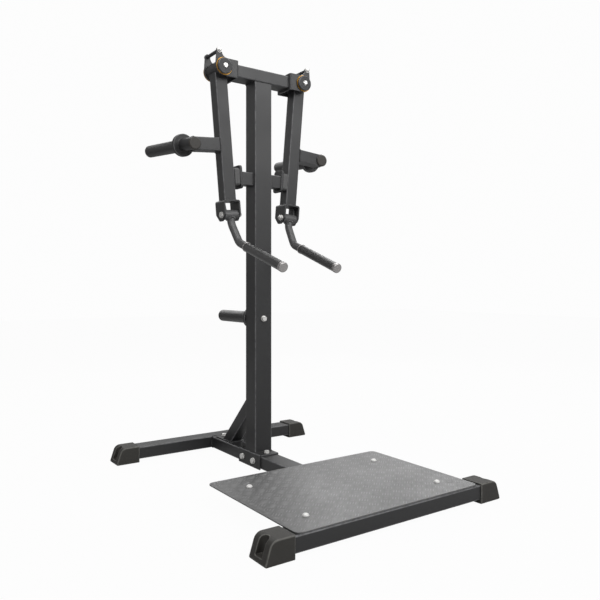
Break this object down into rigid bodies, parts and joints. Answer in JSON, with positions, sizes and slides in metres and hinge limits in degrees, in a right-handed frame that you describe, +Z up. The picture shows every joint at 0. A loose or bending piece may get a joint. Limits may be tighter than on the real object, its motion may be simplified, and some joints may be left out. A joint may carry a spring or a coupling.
{
  "type": "standing lateral raise machine",
  "caption": "Free-standing gym machine with a tread platform, an upright post and pivoted arms that carry weight horns and hinged handles, for lateral raises.",
  "frame": {"origin": "on the floor, under the middle of the machine's bounding box", "axes": "+Z up, -Y towards the platform where the person stands, +X to the right of someone who faces the machine from the platform side"},
  "size_m": [0.9196, 1.2158, 1.6008],
  "materials": {
    "powder_coat": "satin dark grey powder coat",
    "foot_rubber": "matt warm black",
    "tread_plate": "mid grey non-slip tread, satin",
    "zinc": "zinc plated",
    "bronze": "plain bearing bronze",
    "blackened_steel": "blackened, satin",
    "cap_plastic": "moulded, matt",
    "buffer_rubber": "matt grey",
    "grip_rubber": "matt black",
    "aluminium": "turned, satin"
  },
  "bodies": {
    "root": {"front_cross_tube": "powder_coat", "rear_cross_tube": "powder_coat", "spine_tube": "powder_coat", "platform_bearer_left": "powder_coat", "platform_bearer_right": "powder_coat", "post_saddle": "powder_coat", "upright_post": "powder_coat", "rear_brace": "powder_coat", "storage_horn": "powder_coat", "top_beam": "powder_coat", "stop_crossbar": "powder_coat", "pivot_bracket_left": "powder_coat", "pivot_bracket_right": "powder_coat", "foot_front_left": "foot_rubber", "foot_front_right": "foot_rubber", "foot_rear_left": "foot_rubber", "foot_rear_right": "foot_rubber", "platform_plate": "tread_plate", "saddle_bolt_front": "zinc", "saddle_bolt_rear": "zinc", "saddle_flange_bolt": "zinc", "rear_brace_bolt": "zinc", "storage_horn_bolt": "zinc", "platform_bolt_front_left": "zinc", "platform_bolt_front_right": "zinc", "platform_bolt_rear_left": "zinc", "platform_bolt_rear_right": "zinc", "pivot_bush_front_left": "bronze", "pivot_bush_rear_left": "bronze", "pivot_bush_front_right": "bronze", "pivot_bush_rear_right": "bronze", "stop_rod_left": "blackened_steel", "stop_rod_right": "blackened_steel", "storage_horn_cap": "cap_plastic", "stop_block_left": "buffer_rubber", "stop_block_right": "buffer_rubber"},
    "left_arm": {"arm_tube_left": "powder_coat", "pivot_pin_left": "blackened_steel", "outrigger_tube_left": "powder_coat", "weight_horn_left": "powder_coat", "horn_cap_front_left": "cap_plastic", "horn_cap_rear_left": "cap_plastic", "clevis_left": "powder_coat", "clevis_bolt_left": "zinc"},
    "left_handle": {"handle_rod_left": "powder_coat", "hand_grip_left": "grip_rubber", "grip_ring_left": "aluminium", "grip_end_cap_left": "aluminium"},
    "right_arm": {"arm_tube_right": "powder_coat", "pivot_pin_right": "blackened_steel", "outrigger_tube_right": "powder_coat", "weight_horn_right": "powder_coat", "horn_cap_front_right": "cap_plastic", "horn_cap_rear_right": "cap_plastic", "clevis_right": "powder_coat", "clevis_bolt_right": "zinc"},
    "right_handle": {"handle_rod_right": "powder_coat", "hand_grip_right": "grip_rubber", "grip_ring_right": "aluminium", "grip_end_cap_right": "aluminium"}
  },
  "joints": [
    {"name": "left_arm_swing", "type": "hinge", "parent": "root", "child": "left_arm", "pos_m": [-0.1803, 0.19575, 1.5327], "axis": [0, 1, 0], "range_deg": [0, 134]},
    {"name": "left_handle_swing", "type": "hinge", "parent": "left_arm", "child": "left_handle", "pos_m": [-0.13336, 0.18375, 0.98521], "axis": [-0.9963, 0, -0.0854], "range_deg": [0, 110]},
    {"name": "right_arm_swing", "type": "hinge", "parent": "root", "child": "right_arm", "pos_m": [0.1803, 0.19575, 1.5327], "axis": [0, -1, 0], "range_deg": [0, 134]},
    {"name": "right_handle_swing", "type": "hinge", "parent": "right_arm", "child": "right_handle", "pos_m": [0.13336, 0.18375, 0.98521], "axis": [-0.9963, 0, 0.0854], "range_deg": [0, 110]}
  ]
}
